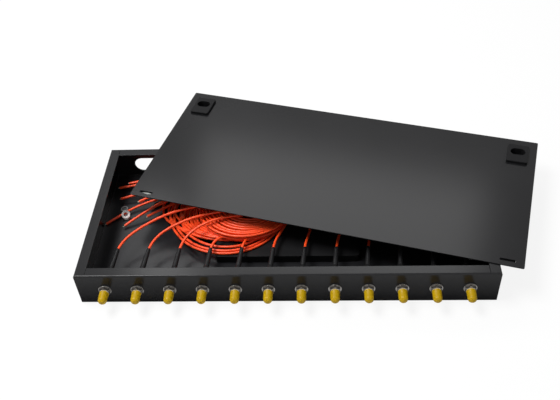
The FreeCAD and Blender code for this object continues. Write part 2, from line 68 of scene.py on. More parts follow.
class Layer(Enum):
    """Heights at which turns of the coil lie, in millimetres."""

    RING = 12.95
    RING_UPPER = 15.9
    BUNDLE_DEEP = 16.2
    BUNDLE_LOW = 18.9
    BUNDLE_MIDDLE = 21.65
    BUNDLE_TOP = 24.4


class Role(Enum):
    """What a lamp does in the set."""

    KEY = "key"
    SHEEN = "sheen"
    SIDE_SHEEN = "side_sheen"
    FILL = "fill"


class Wire:
    """One output of a node, with the arithmetic that materials use."""

    def __init__(self, graph: "Graph", socket: bpy.types.NodeSocket) -> None:
        """Keeps the socket and the graph that adds its Math nodes."""
        self.graph = graph
        self.socket = socket

    def math(self, operation: str, first: Value, second: Value) -> "Wire":
        """Output of a new Math node with two numbers or wires as its inputs."""
        return self.graph.add("ShaderNodeMath", {"operation": operation}, {0: first, 1: second})

    def __add__(self, other: Value) -> "Wire":
        """Sum."""
        return self.math("ADD", self, other)

    __radd__ = __add__

    def __sub__(self, other: Value) -> "Wire":
        """Difference."""
        return self.math("SUBTRACT", self, other)

    def __rsub__(self, other: Value) -> "Wire":
        """Difference from a number."""
        return self.math("SUBTRACT", other, self)

    def __mul__(self, other: Value) -> "Wire":
        """Product."""
        return self.math("MULTIPLY", self, other)


class Graph:
    """A node tree that is being wired."""

    def __init__(self, tree: bpy.types.NodeTree) -> None:
        """Starts from an empty tree."""
        self.tree = tree
        self.tree.nodes.clear()

    @staticmethod
    def pick(sockets: bpy.types.NodeInputs, key: Union[int, str]) -> bpy.types.NodeSocket:
        """Finds a socket by its place, identifier or name."""
        if isinstance(key, int):
            return sockets[key]
        return next(s for s in sockets if key in (s.identifier, s.name))

    def add(self, kind: str, settings: Optional[dict] = None, inputs: Optional[dict] = None,
            out: Union[int, str, None] = 0) -> Optional[Wire]:
        """Adds one node.

        Args:
            kind: Type of the node.
            settings: Its properties, set first.
            inputs: Numbers or wires for its sockets, by place, identifier or name.
            out: The output to hand back, or None for a node that has none.

        Returns:
            The chosen output.
        """
        node = self.tree.nodes.new(kind)
        for name, value in (settings or {}).items():
            setattr(node, name, value)
        for key, value in (inputs or {}).items():
            socket = self.pick(node.inputs, key)
            if isinstance(value, Wire):
                self.tree.links.new(value.socket, socket)
            else:
                socket.default_value = value
        return Wire(self, self.pick(node.outputs, out)) if out is not None else None

    def noise(self, where: Wire, size_mm: float, detail: float = 2.0) -> Wire:
        """Noise whose lumps are about a given size."""
        inputs = {"Vector": where, "Scale": 1.0 / (size_mm * MM), "Detail": detail}
        return self.add("ShaderNodeTexNoise", inputs=inputs)

    def mix(self, factor: Value, first: Value, second: Value) -> Wire:
        """Blend of two colours."""
        inputs = {"Factor_Float": factor, "A_Color": first, "B_Color": second}
        return self.add("ShaderNodeMix", {"data_type": "RGBA"}, inputs, "Result_Color")


def colour(red: float, green: float, blue: float) -> tuple[float, float, float, float]:
    """Opaque linear colour."""
    return (red, green, blue, 1.0)


# Values that all finishes share
NOISE_MIDDLE = 0.5
PATCH_DETAIL = 3.0
GRAIN_SHARE = 0.5
BEVEL_SAMPLES = 6
# Grey that edges are lightened towards: partly wear, partly a painted highlight along bends.
EDGE_WEAR_AND_HIGHLIGHT_GREY = 0.5
EDGE_WEAR_AND_HIGHLIGHT_SHARE = 0.3


@dataclass(frozen=True)
class Finish:
    """One surface finish: a base colour that varies a little, with grain, sheen and softened edges.

    Attributes:
        name: Name of the material.
        base: Linear colour over most of the surface.
        tint: Linear colour that broad patches drift to.
        drift: Share of the tint in the strongest patch.
        patch_mm: Size of the patches.
        rough: Roughness over most of the surface.
        rough_drift: How far the roughness strays.
        grain_mm: Size of the surface's grain.
        grain_depth_mm: Depth of the grain.
        grain_stretch: How much longer the grain is along each axis.
        edge_mm: Radius that sharp edges are softened by, or 0.
        edge_wear_and_highlight: How much lighter an edge is than the faces beside it, partly as wear and
            partly as a painted highlight along bends.
        metallic: 1 for plated metal.
        specular: Specular level of the coat.
        fade_along: Direction in which the colour falls to the tint, or nothing.
        fade_mm: Where along it that starts and ends.
        fade_rough: How much rougher the surface is past the fade.
    """

    name: str
    base: Colour
    tint: Colour
    drift: float = 0.5
    patch_mm: float = 30.0
    rough: float = 0.4
    rough_drift: float = 0.1
    grain_mm: float = 0.6
    grain_depth_mm: float = 0.02
    grain_stretch: Point = (1.0, 1.0, 1.0)
    edge_mm: float = 0.0
    edge_wear_and_highlight: float = 0.0
    metallic: float = 0.0
    specular: float = 0.5
    fade_along: Point = (0.0, 0.0, 0.0)
    fade_mm: tuple[float, float] = (0.0, 1.0)
    fade_rough: float = 0.0

    def build(self) -> bpy.types.Material:
        """Makes the material.

        Returns:
            The finished material.
        """
        material = bpy.data.materials.new(self.name)
        material.use_nodes = True
        graph = Graph(material.node_tree)
        where = graph.add("ShaderNodeTexCoord", out="Object")
        patches = graph.noise(where, self.patch_mm, PATCH_DETAIL)
        scale = tuple(1.0 / s for s in self.grain_stretch)
        stretched = graph.add("ShaderNodeMapping", inputs={"Vector": where, "Scale": scale})
        grain = graph.noise(stretched, self.grain_mm)
        shade = graph.mix(patches * self.drift, colour(*self.base), colour(*self.tint))
        roughness = self.rough + (patches - NOISE_MIDDLE) * self.rough_drift
        roughness = roughness + (grain - NOISE_MIDDLE) * (self.rough_drift * GRAIN_SHARE)
        if any(self.fade_along):
            fade = self.faded(graph, where)
            shade = graph.mix(fade, shade, colour(*self.tint))
            roughness = roughness + fade * self.fade_rough
        bump_inputs = {"Height": grain, "Strength": 1.0, "Distance": self.grain_depth_mm * MM}
        if self.edge_mm > 0:
            soft = graph.add("ShaderNodeBevel", {"samples": BEVEL_SAMPLES}, {"Radius": self.edge_mm * MM})
            bump_inputs["Normal"] = soft
            # Edges lightened in colour: partly wear, partly a painted highlight.
            shade = self.worn(graph, soft, shade)
        normal = graph.add("ShaderNodeBump", inputs=bump_inputs)
        shader = graph.add("ShaderNodeBsdfPrincipled", inputs={
            "Base Color": shade, "Roughness": roughness, "Metallic": self.metallic, "Normal": normal,
            "Specular IOR Level": self.specular})
        graph.add("ShaderNodeOutputMaterial", inputs={"Surface": shader}, out=None)
        return material

    def faded(self, graph: Graph, where: Wire) -> Wire:
        """Share of the tint at a place on the surface: 0 before the fade and 1 past it."""
        start, stop = (place * MM for place in self.fade_mm)
        inputs = {0: where, 1: self.fade_along}
        along = graph.add("ShaderNodeVectorMath", {"operation": "DOT_PRODUCT"}, inputs, "Value")
        return graph.add("ShaderNodeClamp", inputs={"Value": (along - start) * (1.0 / (stop - start))})

    def worn(self, graph: Graph, soft: Wire, shade: Wire) -> Wire:
        """Colour with its edges lightened, partly as wear and partly as a painted highlight, where the normal
        that is rounded over them leaves the true one.
        """
        true = graph.add("ShaderNodeNewGeometry", out="Normal")
        dot = graph.add("ShaderNodeVectorMath", {"operation": "DOT_PRODUCT"}, {0: soft, 1: true}, "Value")
        edge = graph.add("ShaderNodeClamp", inputs={"Value": (1.0 - dot) * self.edge_wear_and_highlight})
        return graph.mix(edge, shade, colour(*(EDGE_WEAR_AND_HIGHLIGHT_GREY + c * EDGE_WEAR_AND_HIGHLIGHT_SHARE for c in self.base)))


BOX_COAT = Finish(
    "satin_black_coat", (0.009, 0.009, 0.0098), (0.013, 0.013, 0.0145), drift=0.6, patch_mm=55.0, rough=0.2,
    rough_drift=0.05, grain_mm=0.9, grain_depth_mm=0.003, edge_mm=0.5, edge_wear_and_highlight=0.05, specular=0.19,
    fade_along=(0.0, 0.0, -1.0), fade_mm=(-4.0, -2.0), fade_rough=0.08)
COVER_COAT = Finish(
    "satin_black_cover", (0.0078, 0.0078, 0.0084), (0.0118, 0.0118, 0.0132), drift=0.6, patch_mm=70.0,
    rough=0.18, rough_drift=0.04, grain_mm=0.9, grain_depth_mm=0.002, edge_mm=0.4, edge_wear_and_highlight=0.05,
    specular=0.155)
LATCH_PLASTIC = Finish(
    "black_latch", (0.008, 0.008, 0.0085), (0.013, 0.013, 0.014), patch_mm=8.0, rough=0.5, grain_mm=0.35,
    grain_depth_mm=0.01, edge_mm=0.3, edge_wear_and_highlight=0.05, specular=0.06)
TRAY_PLASTIC = Finish(
    "black_tray", (0.008, 0.008, 0.0085), (0.013, 0.013, 0.014), patch_mm=20.0, rough=0.44, grain_mm=0.5,
    grain_depth_mm=0.015, edge_mm=0.3, edge_wear_and_highlight=0.04, specular=0.09)
NICKEL = Finish(
    "bright_nickel", (0.72, 0.71, 0.68), (0.55, 0.53, 0.49), patch_mm=4.0, rough=0.24, grain_mm=0.12,
    grain_depth_mm=0.002, grain_stretch=(1.0, 6.0, 1.0), metallic=1.0)
# Nickel nut coloured far darker than its plating: a painted dark reflection of the black front face that the
# nut mirrors.
NUT_PAINTED_DARK = Finish(
    "nickel_nut_painted_dark", (0.17, 0.16, 0.15), (0.12, 0.11, 0.1), patch_mm=3.0, rough=0.32, grain_mm=0.15,
    grain_depth_mm=0.002, grain_stretch=(1.0, 5.0, 1.0), edge_mm=0.12, metallic=1.0)
WASHER = Finish(
    "bright_washer", (0.62, 0.6, 0.57), (0.5, 0.48, 0.45), patch_mm=3.0, rough=0.28, grain_mm=0.15,
    grain_depth_mm=0.002, grain_stretch=(1.0, 5.0, 1.0), edge_mm=0.12, metallic=1.0)
BARE_STEEL = Finish(
    "bare_steel", (0.16, 0.165, 0.158), (0.13, 0.13, 0.125), patch_mm=3.0, grain_mm=0.15,
    grain_depth_mm=0.003, grain_stretch=(1.0, 5.0, 1.0), metallic=1.0)
CERAMIC = Finish(
    "white_ceramic", (0.82, 0.81, 0.77), (0.75, 0.73, 0.68), drift=0.4, patch_mm=2.0, rough=0.2,
    rough_drift=0.05, grain_mm=0.1, grain_depth_mm=0.001)
BOOT_RUBBER = Finish(
    "black_boot", (0.008, 0.008, 0.0085), (0.014, 0.014, 0.015), drift=0.6, patch_mm=6.0, rough_drift=0.12,
    grain_mm=0.3, grain_depth_mm=0.006, specular=0.13)
CAP_PLASTIC = Finish(
    "yellow_cap", (0.455, 0.288, 0.001), (0.39, 0.238, 0.001), drift=0.6, patch_mm=5.0, rough=0.42,
    grain_mm=0.4, grain_depth_mm=0.004, specular=0.2)
JACKET = Finish(
    "orange_jacket", (0.95, 0.083, 0.013), (0.84, 0.06, 0.009), drift=0.7, patch_mm=14.0, grain_mm=0.5,
    grain_depth_mm=0.006, specular=0.42)
# The clamp greys towards its upper, rear loop past the fade: painted shade where the cover's shadow falls on
# that loop.
NYLON = Finish(
    "white_nylon", (0.86, 0.85, 0.83), (0.15, 0.15, 0.15), drift=0.1, patch_mm=4.0, rough=0.36,
    grain_mm=0.4, grain_depth_mm=0.005, edge_mm=0.3, fade_along=(0.0, 0.7, 0.7), fade_mm=(21.5, 26.5))
SCREW_BLACK = Finish(
    "black_screw", (0.03, 0.03, 0.032), (0.05, 0.05, 0.052), patch_mm=2.0, rough=0.38, grain_mm=0.3,
    grain_depth_mm=0.004, edge_mm=0.15, specular=0.6)
BUFFER = Finish(
    "cream_buffer", (0.8, 0.7, 0.5), (0.7, 0.58, 0.36), patch_mm=1.5, grain_mm=0.2, grain_depth_mm=0.003)


class Palette:
    """Materials by finish, each made once."""

    def __init__(self) -> None:
        """Starts with none made."""
        self.made: dict[str, bpy.types.Material] = {}

    def of(self, finish: Finish) -> bpy.types.Material:
        """Material of a finish."""
        if finish.name not in self.made:
            self.made[finish.name] = finish.build()
        return self.made[finish.name]

    def dress(self, piece: bpy.types.Object, finish: Finish) -> None:
        """Gives a piece one finish all over."""
        piece.data.materials.clear()
        piece.data.materials.append(self.of(finish))


def linked(name: str, data: bpy.types.ID) -> bpy.types.Object:
    """New object in the scene for a mesh, curve, lamp or camera."""
    piece = bpy.data.objects.new(name, data)
    bpy.context.scene.collection.objects.link(piece)
    return piece


def finish_mesh(name: str, build: bmesh.types.BMesh) -> bpy.types.Mesh:
    """Closes a mesh's seams, turns its faces outwards and smooths it.

    Args:
        name: Name of the mesh.
        build: The faces, which are freed.

    Returns:
        The finished mesh.
    """
    bmesh.ops.remove_doubles(build, verts=build.verts, dist=SEAM_M)
    bmesh.ops.recalc_face_normals(build, faces=build.faces)
    mesh = bpy.data.meshes.new(name)
    build.to_mesh(mesh)
    build.free()
    mesh.polygons.foreach_set("use_smooth", [True] * len(mesh.polygons))
    mesh.set_sharp_from_angle(angle=math.radians(SHARP_DEG))
    return mesh


def spun(name: str, outline: Callable[[float], Outline], sides: int, ring: bool) -> bpy.types.Mesh:
    """Mesh round the Y axis whose outline may change with the angle.

    Args:
        name: Name of the mesh.
        outline: Gives the (along, radius) points in millimetres at an angle in radians from +X towards +Z.
        sides: Steps of the turn.
        ring: Whether the outline closes on itself, as round a bore.

    Returns:
        The finished mesh.
    """
    build = bmesh.new()
    rows = []
    for k in range(sides):
        angle = math.tau * k / sides
        across, up = math.cos(angle), math.sin(angle)
        spots = [(r * across * MM, along * MM, r * up * MM) for along, r in outline(angle)]
        rows.append([build.verts.new(spot) for spot in spots])
    count = len(rows[0])
    for k, row in enumerate(rows):
        after = rows[(k + 1) % sides]
        for j in range(count if ring else count - 1):
            n = (j + 1) % count
            build.faces.new((row[j], after[j], after[n], row[n]))
    return finish_mesh(name, build)


@dataclass
class PortRow:
    """Row of the adapters' places, with the tree that repeats a piece along it."""

    count: int = 12
    pitch: float = 34.64
    front_y: float = -102.5
    axis_z: float = 21.0
    tree: bpy.types.NodeTree = field(init=False)

    def __post_init__(self) -> None:
        """Builds the tree: a line of points, the piece on each, made real and given its finish."""
        self.tree = bpy.data.node_groups.new("port_row", "GeometryNodeTree")
        graph = Graph(self.tree)
        sockets = {"Piece": "Object", "Count": "Int", "Pitch": "Float", "Start": "Vector",
                   "Finish": "Material"}
        self.tree.interface.new_socket("Geometry", in_out="OUTPUT", socket_type="NodeSocketGeometry")
        for name, kind in sockets.items():
            self.tree.interface.new_socket(name, in_out="INPUT", socket_type="NodeSocket" + kind)
        given = {name: graph.add("NodeGroupInput", out=name) for name in sockets}
        step = graph.add("ShaderNodeCombineXYZ", inputs={"X": given["Pitch"]})
        line = graph.add("GeometryNodeMeshLine", inputs={
            "Count": given["Count"], "Start Location": given["Start"], "Offset": step})
        piece = graph.add("GeometryNodeObjectInfo", inputs={"Object": given["Piece"]}, out="Geometry")
        copies = graph.add("GeometryNodeInstanceOnPoints", inputs={"Points": line, "Instance": piece})
        real = graph.add("GeometryNodeRealizeInstances", inputs={"Geometry": copies})
        done = graph.add("GeometryNodeSetMaterial", inputs={"Geometry": real, "Material": given["Finish"]})
        graph.add("NodeGroupOutput", inputs={"Geometry": done}, out=None)

    def place(self, index: int) -> Point:
        """Where a port's axis meets the panel's front face, in millimetres."""
        return ((index - (self.count - 1) / 2) * self.pitch, self.front_y, self.axis_z)

    def repeat(self, name: str, mesh: bpy.types.Mesh, material: bpy.types.Material) -> bpy.types.Object:
        """Sets one copy of a piece at every port.

        Args:
            name: Name of the row's object.
            mesh: The piece, drawn on the Y axis from the panel's front face.
            material: Its finish.

        Returns:
            The row as one plain mesh.
        """
        single = linked(name + "_single", mesh)
        row = linked(name, bpy.data.meshes.new(name))
        modifier = row.modifiers.new("row", "NODES")
        modifier.node_group = self.tree
        values = {"Piece": single, "Count": self.count, "Pitch": self.pitch * MM,
                  "Start": [c * MM for c in self.place(0)], "Finish": material}
        for socket in self.tree.interface.items_tree:
            if socket.in_out == "INPUT":
                modifier[socket.identifier] = values[socket.name]
        graph = bpy.context.evaluated_depsgraph_get()
        real = bpy.data.meshes.new_from_object(row.evaluated_get(graph))
        row.modifiers.remove(modifier)
        row.data = real
        bpy.data.objects.remove(single)
        return row


def triangle_wave(turns: float) -> float:
    """Rises from 0 to 1 and falls back once in each whole turn."""
    return 1.0 - abs(2.0 * (turns % 1.0) - 1.0)


@dataclass
class Adapters:
    """Threaded couplers along the front, with their nuts, and the plugs screwed on behind."""

    row: PortRow
    sides: int = 48
    front: float = -11.5
    rear: float = 12.5
    bevel: float = 0.2
    mouth_bevel: float = 0.3
    key_front: float = -8.5
    key_half: float = 1.1
    barrel: float = 4.0
    socket: float = 2.8
    seat: float = 1.65
    seat_front: float = -6.0
    seat_back: float = 7.0
    shank: float = 4.75
    shank_front: float = -4.1
    flange: float = 6.5
    flange_front: float = 1.2
    flange_back: float = 4.2
    thread_pitch: float = 0.75
    thread_depth: float = 0.36
    thread_from: float = -11.1
    thread_to: float = -4.5
    thread_steps: int = 44
    thread_lead: float = 0.05
    nut_flats: float = 11.0
    nut_from: float = -3.6
    nut_to: float = -0.6
    nut_bore: float = 4.85
    nut_face_inset: float = 0.1
    nut_chamfer_deg: float = 30.0
    knurls: int = 34
    knurl_sides: int = 4
    knurl_depth: float = 0.28
    knurl_front: float = 5.6
    knurl_back: float = 13.7
    knurl_run: float = 0.3
    coupling: float = 5.1
    coupling_front: float = 4.6
    coupling_back: float = 14.3
    coupling_bore: float = 4.1
    collar: float = 4.4
    collar_front: float = 14.4
    collar_back: float = 16.5
    collar_run: float = 0.6
    collar_drop: float = 0.5
    collar_bore: float = 2.7

    def adapter_outline(self, angle: float) -> Outline:
        """Outline of a coupler at an angle, with its thread and the key slot at the top."""
        in_key = math.sin(angle) > 0 and abs(math.cos(angle)) * self.barrel < self.key_half
        front = self.key_front if in_key else self.front
        points = [(self.seat_front, self.seat), (self.seat_front, self.socket), (front, self.socket),
                  (front, self.barrel - self.mouth_bevel)]
        for k in range(self.thread_steps + 1):
            along = self.thread_from + (self.thread_to - self.thread_from) * k / self.thread_steps
            wave = triangle_wave(along / self.thread_pitch - angle / math.tau)
            points.append((max(along, front + self.thread_lead), self.barrel - self.thread_depth * wave))
        points += [(self.shank_front, self.barrel), (self.shank_front, self.shank - self.bevel),
                   (self.shank_front + self.bevel, self.shank), (self.flange_front, self.shank),
                   (self.flange_front, self.flange - self.bevel),
                   (self.flange_front + self.bevel, self.flange),
                   (self.flange_back - self.bevel, self.flange), (self.flange_back, self.flange - self.bevel),
                   (self.flange_back, self.barrel), (self.rear - self.bevel, self.barrel),
                   (self.rear, self.barrel - self.bevel), (self.rear, self.socket),
                   (self.seat_back, self.socket), (self.seat_back, self.seat)]
        return points

    def nut_outline(self, angle: float) -> Outline:
        """Outline of a hexagon nut at an angle, with both faces chamfered."""
        sixth = math.tau / 6
        reach = self.nut_flats / 2 / math.cos(((angle + sixth / 2) % sixth) - sixth / 2)
        face = self.nut_flats / 2 - self.nut_face_inset
        drop = (reach - face) * math.tan(math.radians(self.nut_chamfer_deg))
        return [(self.nut_from, self.nut_bore), (self.nut_from, face), (self.nut_from + drop, reach),
                (self.nut_to - drop, reach), (self.nut_to, face), (self.nut_to, self.nut_bore)]

    def coupling_outline(self, angle: float) -> Outline:
        """Outline of a knurled coupling nut at an angle."""
        ridge = self.coupling - self.knurl_depth * triangle_wave(angle / math.tau * self.knurls)
        groove = self.coupling - self.knurl_depth
        return [(self.coupling_front, self.coupling_bore), (self.coupling_front, groove - self.bevel),
                (self.coupling_front + self.bevel, groove), (self.knurl_front, groove),
                (self.knurl_front + self.knurl_run, ridge), (self.knurl_back - self.knurl_run, ridge),
                (self.knurl_back, groove), (self.coupling_back, groove), (self.collar_front, self.collar),
                (self.collar_back - self.collar_run, self.collar),
                (self.collar_back, self.collar - self.collar_drop), (self.collar_back, self.collar_bore),
                (self.coupling_back, self.collar_bore), (self.coupling_back, self.coupling_bore)]

    def build(self, palette: Palette) -> None:
        """Replaces the plain couplers, nuts and coupling nuts.

        Args:
            palette: Materials.
        """
        adapters = [f"adapter_{i + 1:02d}" for i in range(self.row.count)]
        knurled = self.knurls * self.knurl_sides
        kinds = (
            ("threaded_adapters", self.adapter_outline, self.sides, NICKEL, "nickel_brass", adapters),
            ("hexagon_nuts", self.nut_outline, self.sides, NUT_PAINTED_DARK, "nickel_nut", ["adapter_nuts"]),
            ("knurled_couplings", self.coupling_outline, knurled, NICKEL, "nickel_brass", ["coupling_nuts"]),
        )
        for name, outline, sides, finish, slot, nodes in kinds:
            piece = self.row.repeat(name, spun(name, outline, sides, True), palette.of(finish))
            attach(piece, ROOT_BODY)
            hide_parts(*nodes)
            LOG.info("%s: %d faces", name, len(piece.data.polygons))


@dataclass
class DustCaps:
    """Yellow push-on caps, one on each coupler and each on its own body."""

    row: PortRow
    mouth: float = -4.3
    length: float = 13.5
    radius: float = 5.0
    edge: float = 0.25
    mouth_run: float = 0.3
    lip: float = 1.3
    lip_run: float = 0.2
    lip_height: float = 0.12
    taper: float = 0.1
    bore: float = 4.06
    bore_depth: float = 10.6
    dome: float = 4.3
    dome_steps: int = 9
    dimple: float = 0.9
    dimple_depth: float = 0.12
    dimple_run: float = 0.15
    sides: int = 48

    def outline(self, angle: float) -> Outline:
        """Outline of a cap: bore, rolled lip, slightly tapered wall and domed nose with a gate dimple."""
        nose = self.mouth - self.length
        floor = self.mouth - self.bore_depth
        pit = nose + self.dimple_depth
        wall = self.radius - self.lip_height
        tip = wall - self.taper
        points = [(floor, 0.0), (floor, self.bore), (self.mouth - self.mouth_run, self.bore),
                  (self.mouth, self.bore + self.edge), (self.mouth, self.radius - self.edge),
                  (self.mouth - self.edge, self.radius), (self.mouth - self.lip + self.lip_run, self.radius),
                  (self.mouth - self.lip, wall)]
        for k in range(self.dome_steps + 1):
            turn = math.pi / 2 * k / self.dome_steps
            points.append((nose + self.dome * (1 - math.sin(turn)), tip - self.dome * (1 - math.cos(turn))))
        points += [(nose, self.dimple), (pit, self.dimple - self.dimple_run), (pit, 0.0)]
        return points

    def build(self, palette: Palette) -> None:
        """Makes the caps and hands each to its body.

        Args:
            palette: Materials.
        """
        shape = spun("dust_cap", self.outline, self.sides, False)
        for i in range(self.row.count):
            number = f"{i + 1:02d}"
            mesh = shape.copy()
            mesh.transform(Matrix.Translation(Vector(self.row.place(i)) * MM))
            cap = linked("yellow_cap_" + number, mesh)
            palette.dress(cap, CAP_PLASTIC)
            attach(cap, "cap_" + number)
            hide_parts("dust_cap_" + number)
        bpy.data.meshes.remove(shape)
        LOG.info("dust caps: %d", self.row.count)


@dataclass
class Boots:
    """Black strain reliefs behind the panel, leaning the way their cables pull."""

    row: PortRow
    front: float = 20.4
    edge: float = 0.3
    grip_end: float = 28.0
    grip: float = 3.5
    shoulder: tuple[float, float] = (-0.5, 0.2)
    neck: float = 3.1
    tip: float = 58.0
    tip_radius: float = 2.15
    tip_edge: float = 0.25
    bore: float = 2.65
    cord_bore: float = 1.55
    crimp_end: float = 27.3
    pivot: float = 23.5
    lean_deg: float = 4.5
    ribs: int = 9
    rib_from: float = 31.5
    rib_pitch: float = 2.5
    rib_groove: float = 0.22
    groove_steps: tuple[tuple[float, float], ...] = ((0.0, 0.0), (0.3, 1.0), (0.8, 1.0), (1.1, 0.0))
    sides: int = 28

    def outline(self, angle: float) -> Outline:
        """Outline of a boot: round grip, then a tapering tail with shallow grooves."""
        shoulder, fall = (self.grip_end + step for step in self.shoulder)
        points = [(self.front, self.bore), (self.front, self.grip - self.edge),
                  (self.front + self.edge, self.grip), (shoulder, self.grip), (fall, self.neck)]
        for k in range(self.ribs):
            start = self.rib_from + k * self.rib_pitch
            for step, sunk in self.groove_steps:
                points.append((start + step, self.tail_radius(start + step) - sunk * self.rib_groove))
        points += [(self.tip - self.edge, self.tip_radius), (self.tip, self.tip_radius - self.tip_edge),
                   (self.tip, self.cord_bore), (self.crimp_end, self.cord_bore), (self.crimp_end, self.bore)]
        return points

    def tail_radius(self, along: float) -> float:
        """Radius of the tapering tail."""
        share = (along - self.grip_end) / (self.tip - self.grip_end)
        return self.neck + (self.tip_radius - self.neck) * share

    def leaning(self) -> Matrix:
        """Turn of a boot about the middle of its crimp."""
        pivot = Matrix.Translation((0, self.pivot * MM, 0))
        return pivot @ Matrix.Rotation(math.radians(-self.lean_deg), 4, "Z") @ pivot.inverted()

    def on_axis(self, index: int, along: float) -> Point:
        """Point of a boot's leaning axis in the row frame, in millimetres."""
        spot = self.leaning() @ Vector((0, along * MM, 0)) / MM
        return tuple(Vector(self.row.place(index)) + spot)

    def build(self, palette: Palette) -> None:
        """Replaces the plain boots.

        Args:
            palette: Materials.
        """
        mesh = spun("boot", self.outline, self.sides, True)
        mesh.transform(self.leaning())
        piece = self.row.repeat("ribbed_boots", mesh, palette.of(BOOT_RUBBER))
        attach(piece, ROOT_BODY)
        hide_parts("boots")
        LOG.info("boots: %d faces", len(piece.data.polygons))


# Coil: a wide ring and a tighter bundle on it, in millimetres
RING_LAYERS = (Layer.RING, Layer.RING_UPPER)
RING_CENTRE = (-68.0, 20.0)
BUNDLE_CENTRE = (-47.0, 27.0)
# Splay of the bundle's turns
SPLAY = 0.38
SPLAY_RADIUS = 47.0
SPLAY_DEG = 230.0
SPLAY_SPREAD_DEG = 42.0
# Drawing together of the ring's inner turns
DRAW = 0.85
DRAW_RADII = (42.0, 54.0)
DRAW_DEG = 268.0
DRAW_SPREAD_DEG = 62.0
# Droop past the tray's left end
DROOP_X = -81.0
DROOP_SLOPE = 0.135
DROOP_RUN = 12.0
# Laying of a turn, and its change to the next lane
STEP_DEG = 22.5
EASE_IN_DEG = 100.0
EASE_OUT_DEG = 110.0
CHANGE_DEG = 90.0
CHANGE_SPAN_DEG = 80.0
# Strays of a loose turn
SWAY = 0.45
SWAY_RATE = 1.7
LIFT = 0.22
LIFT_RATE = 2.3


@dataclass(frozen=True)
class Lane:
    """One turn of the coil: a circle in plan, at its own height, that may bulge where it hangs loose.

    Turns of the upper bundle also splay at the front, where nothing holds them together, and the inner turns
    of the ring draw together there, under the bundle.

    Attributes:
        radius: Radius of the turn, in millimetres.
        layer: Height of the turn where it lies on what is below it.
        bulge: How far it strays outwards at the left.
        bearing_deg: Where the bulge is.
        spread_deg: How wide the bulge is.
    """

    radius: float
    layer: Layer
    bulge: float = 0.0
    bearing_deg: float = 190.0
    spread_deg: float = 38.0

    @property
    def middle(self) -> tuple[float, float]:
        """Middle of the turn, in millimetres."""
        return RING_CENTRE if self.layer in RING_LAYERS else BUNDLE_CENTRE

    def spot(self, angle: float) -> Vector:
        """Point of the lane at an angle, in millimetres."""
        reach = self.radius + self.bulge * self.near(angle, self.bearing_deg, self.spread_deg)
        if self.layer not in RING_LAYERS:
            reach += SPLAY * (self.radius - SPLAY_RADIUS) * self.near(angle, SPLAY_DEG, SPLAY_SPREAD_DEG)
        elif DRAW_RADII[0] < self.radius < DRAW_RADII[1]:
            reach -= DRAW * (self.radius - DRAW_RADII[0]) * self.near(angle, DRAW_DEG, DRAW_SPREAD_DEG)
        x = self.middle[0] + reach * math.cos(angle)
        y = self.middle[1] + reach * math.sin(angle)
        return Vector((x, y, self.layer.value - self.droop(x)))

    @staticmethod
    def near(angle: float, bearing_deg: float, spread_deg: float) -> float:
        """1 at a bearing, falling off to 0 on both sides of it."""
        off = (math.degrees(angle) - bearing_deg + 180) % 360 - 180
        return math.exp(-((off / spread_deg) ** 2))

    def bearing(self, point: Vector) -> float:
        """Angle at which a point lies from the middle."""
        return math.atan2(point.y - self.middle[1], point.x - self.middle[0])

    @staticmethod
    def droop(x: float) -> float:
        """How far a turn sinks past the tray's left end, where it lies on the box's floor."""
        past = max(0.0, DROOP_X - x)
        return DROOP_SLOPE * past * past / (past + DROOP_RUN)


@dataclass(frozen=True)
class Pigtail:
    """One orange pigtail: its lead from the boot, its turns in the coil and its free tail.

    Attributes:
        lead: Points from the boot's tip to the coil, in millimetres.
        lanes: Turns of the coil in the order that the cable runs through them.
        tail: Points from the coil to the cut end.
    """

    lead: tuple[Point, ...]
    lanes: tuple[Lane, ...]
    tail: tuple[Point, ...]

    def turns(self, wander: random.Random) -> list[Vector]:
        """Points of the coiled stretch, one lane after the other, changing lanes at the back.

        Args:
            wander: Source of the small strays that keep loose turns from looking machined.

        Returns:
            Points between the lead's last and the tail's first.
        """
        first, last = self.lanes[0], self.lanes[-1]
        start, stop = Vector(self.lead[-1]), Vector(self.tail[0])
        angle_in = first.bearing(start)
        angle_out = last.bearing(stop) + math.tau * len(self.lanes)
        into, out = start - first.spot(angle_in), stop - last.spot(angle_out)
        sway, lift, _ = [wander.uniform(0, math.tau) for _ in range(3)]
        steps = round((angle_out - angle_in) / math.radians(STEP_DEG))
        points = []
        for k in range(1, steps):
            angle = angle_in + (angle_out - angle_in) * k / steps
            spot = self.on_lanes(angle)
            stray = Vector((math.cos(angle), math.sin(angle), 0)) * SWAY * math.sin(SWAY_RATE * angle + sway)
            stray.z = LIFT * math.sin(LIFT_RATE * angle + lift)
            easing_in = 1 - smooth((angle - angle_in) / math.radians(EASE_IN_DEG))
            easing_out = smooth((angle - angle_out) / math.radians(EASE_OUT_DEG) + 1)
            points.append(spot + stray + into * easing_in + out * easing_out)
        return points

    def on_lanes(self, angle: float) -> Vector:
        """Point of the coil at an angle counted on through all the turns."""
        turn = (angle - math.radians(CHANGE_DEG)) / math.tau
        index = min(max(round(turn), 0), len(self.lanes) - 1)
        here = self.lanes[max(index - 1, 0)]
        beyond = self.lanes[index]
        share = smooth((turn - index) * math.tau / math.radians(CHANGE_SPAN_DEG) + 0.5)
        return stretched(here.spot(angle).lerp(beyond.spot(angle), share), beyond)


def smooth(share: float) -> float:
    """Eased step from 0 to 1."""
    held = min(max(share, 0.0), 1.0)
    return held * held * (3 - 2 * held)


def stretched(spot: Vector, lane: Lane) -> Vector:
    """Control point outside a turn, so that the curve itself runs along the turn."""
    middle = Vector((*lane.middle, spot.z))
    return middle + (spot - middle) / math.cos(math.radians(STEP_DEG / 2))


def lanes(*turns: tuple) -> tuple[Lane, ...]:
    """Lanes from their radii, layers and bulges."""
    return tuple(Lane(*turn) for turn in turns)


